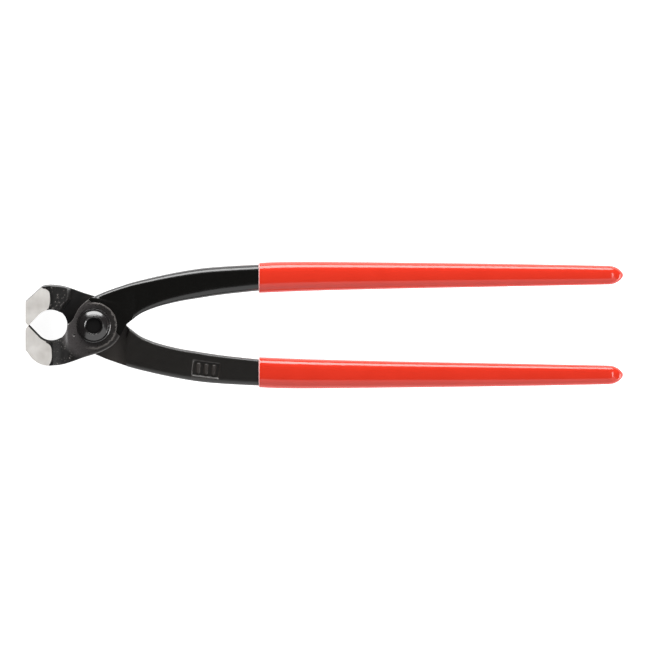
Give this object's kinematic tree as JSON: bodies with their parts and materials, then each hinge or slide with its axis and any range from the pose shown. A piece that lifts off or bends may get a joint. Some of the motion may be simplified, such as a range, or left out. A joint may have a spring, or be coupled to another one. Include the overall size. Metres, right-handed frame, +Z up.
{
  "type": "tile nippers",
  "caption": "End-cutting nippers: two lapped forged steel levers on one rivet, with long dipped vinyl handle grips.",
  "frame": {"origin": "under the middle of the tool's box, on the surface that the tool lies on", "axes": "+X from the jaws to the handles, +Y across the handles, +Z up along the rivet, with the tool lying on its side"},
  "size_m": [0.25, 0.0534, 0.024],
  "materials": {
    "black_steel": "forged and blackened, satin, with the sides of the jaws ground bright",
    "red_vinyl": "glossy dip coating",
    "black_rivet": "blackened, smooth and slightly glossy"
  },
  "bodies": {
    "front": {"front_lever": "black_steel", "upper_grip": "red_vinyl", "pivot_rivet": "black_rivet", "front_washer": "black_rivet", "rear_washer": "black_rivet"},
    "rear": {"rear_lever": "black_steel", "lower_grip": "red_vinyl"}
  },
  "joints": [
    {"name": "jaw_pivot", "type": "hinge", "parent": "front", "child": "rear", "pos_m": [-0.0965, 0, 0.012], "axis": [0, 0, -1], "range_deg": [0, 58]}
  ]
}
